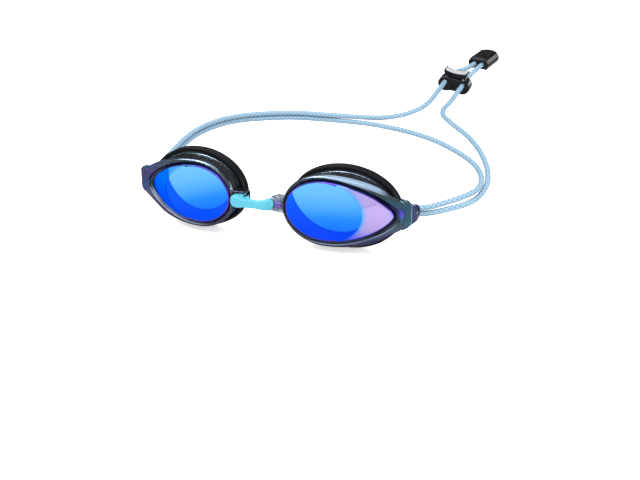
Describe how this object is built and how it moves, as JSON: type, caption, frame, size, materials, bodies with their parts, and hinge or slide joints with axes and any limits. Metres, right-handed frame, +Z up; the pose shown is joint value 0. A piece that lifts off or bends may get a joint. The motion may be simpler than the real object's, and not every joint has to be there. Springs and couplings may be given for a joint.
{
  "type": "swim goggles",
  "caption": "Racing-style swim goggles with oval mirror lenses, silicone gaskets, a flexible nose bridge and a bungee cord strap with a sprung cord lock.",
  "frame": {"origin": "midway between the two lens centres on the front plane of the lenses, at the flat where the nose bridge rests on the nose", "axes": "+X to the wearer's left, +Y back towards the face and strap, +Z up"},
  "size_m": [0.1722, 0.1923, 0.0674],
  "materials": {
    "smoke_polycarbonate": "gloss, dark smoke tint",
    "mirror_lens": "blue mirror coating turning lilac on the temple facet",
    "black_silicone": "satin silicone",
    "aqua_elastomer": "satin",
    "pin_steel": "satin",
    "sky_braid": "braided sheath with darker tracer threads",
    "core_rubber": "matt",
    "black_moulding": "gloss",
    "spring_steel": "bright"
  },
  "bodies": {
    "bridge": {"nose_bridge": "aqua_elastomer"},
    "cup_left": {"eyecup_left": "smoke_polycarbonate", "lens_left": "mirror_lens", "gasket_left": "black_silicone"},
    "cup_right": {"eyecup_right": "smoke_polycarbonate", "lens_right": "mirror_lens", "gasket_right": "black_silicone"},
    "cord_anchors": {"cord_pin_left": "pin_steel", "cord_pin_right": "pin_steel"},
    "strap": {"cord_sheath": "sky_braid", "cord_core": "core_rubber", "cord_knots": "sky_braid", "cord_end_upper": "black_moulding", "cord_end_lower": "black_moulding"},
    "lock": {"lock_body": "black_moulding", "lock_spring": "spring_steel"},
    "button": {"lock_button": "black_moulding"}
  },
  "joints": [
    {"name": "flex_left", "type": "hinge", "parent": "bridge", "child": "cup_left", "pos_m": [0.01, 0.0034, 0], "axis": [0, 0, 1], "range_deg": [-3, 3], "stiffness_Nm_per_rad": 0.05},
    {"name": "flex_right", "type": "hinge", "parent": "bridge", "child": "cup_right", "pos_m": [-0.01, 0.0034, 0], "axis": [0, 0, 1], "range_deg": [-3, 3]},
    {"name": "strap_follow", "type": "slide", "parent": "bridge", "child": "cord_anchors", "axis": [0, 1, 0], "range_m": [-0.0034, 0.0034]},
    {"name": "strap_swing", "type": "hinge", "parent": "cord_anchors", "child": "strap", "pos_m": [0, 0.0149, 0.0006], "axis": [1, 0, 0], "range_deg": [-40, 60]},
    {"name": "lock_slide", "type": "slide", "parent": "strap", "child": "lock", "axis": [0, -0.9703, -0.2419], "range_m": [0, 0.018]},
    {"name": "button_press", "type": "slide", "parent": "lock", "child": "button", "axis": [-0.1736, 0.2382, -0.9556], "range_m": [0, 0.002], "stiffness_N_per_m": 200, "springref_m": -0.002, "deforming": ["lock_spring"]}
  ],
  "couplings": [
    {"joint": "flex_right", "follows": "flex_left", "ratio": -1},
    {"joint": "strap_follow", "follows": "flex_left", "m_per_rad": 0.0613}
  ]
}
